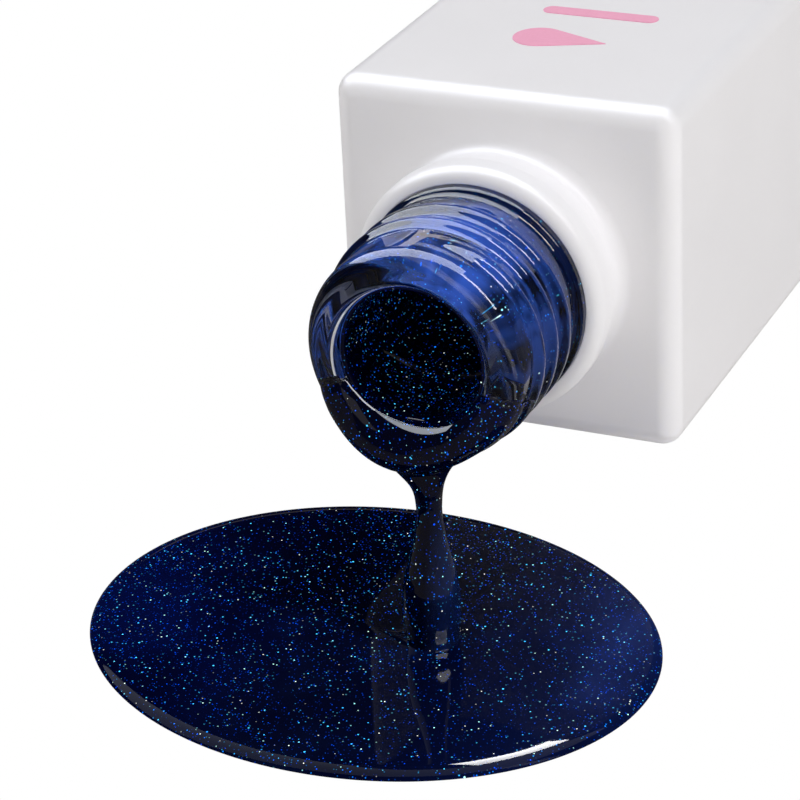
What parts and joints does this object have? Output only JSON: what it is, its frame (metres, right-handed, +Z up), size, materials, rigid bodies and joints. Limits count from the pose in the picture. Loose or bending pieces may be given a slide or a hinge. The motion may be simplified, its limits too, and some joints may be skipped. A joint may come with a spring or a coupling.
{
  "type": "nail polish bottle",
  "caption": "Square white-lacquered nail polish bottle with a brush cap drawn off, pouring dark blue glitter polish into a pool.",
  "frame": {"origin": "centre of the bottle's flat base", "axes": "+Y along the bottle's axis, out of the base; the mouth faces -Y; +Z up with the bottle lying level; +X to the right seen from the mouth side"},
  "size_m": [0.0378, 0.1788, 0.0314],
  "materials": {
    "clear_glass": "clear polished glass",
    "white_lacquer": "satin white spray lacquer",
    "pink_ink": "screen-printed pink ink",
    "steel": "polished stainless steel",
    "glitter_polish": "wet midnight-blue polish with fine glitter",
    "liner_foam": "closed-cell foam",
    "natural_plastic": "milky natural polypropylene",
    "white_plastic": "satin white",
    "black_plastic": "moulded plastic, wet with polish at its end",
    "bristle": "nylon bristles wet with polish"
  },
  "bodies": {
    "bottle": {"glass_bottle": "clear_glass", "lacquer_coat": "white_lacquer", "printed_mark": "pink_ink", "mixing_balls": "steel", "polish_fill": "glitter_polish", "polish_overflow": "glitter_polish", "polish_stream": "glitter_polish", "polish_pool": "glitter_polish"},
    "liner": {"sealing_liner": "liner_foam"},
    "closure": {"inner_cap": "natural_plastic", "overcap": "white_plastic", "brush_stem": "black_plastic", "bristle_tuft": "bristle", "tuft_staple": "steel"}
  },
  "joints": [
    {"name": "closure_draw", "type": "slide", "parent": "bottle", "child": "liner", "axis": [0, -1, 0], "range_m": [-0.106, 0], "deforming": ["polish_fill", "polish_overflow", "polish_stream"]},
    {"name": "closure_turn", "type": "hinge", "parent": "liner", "child": "closure", "pos_m": [0, -0.159, 0], "axis": [0, -1, 0], "range_deg": [-720, 0]}
  ]
}
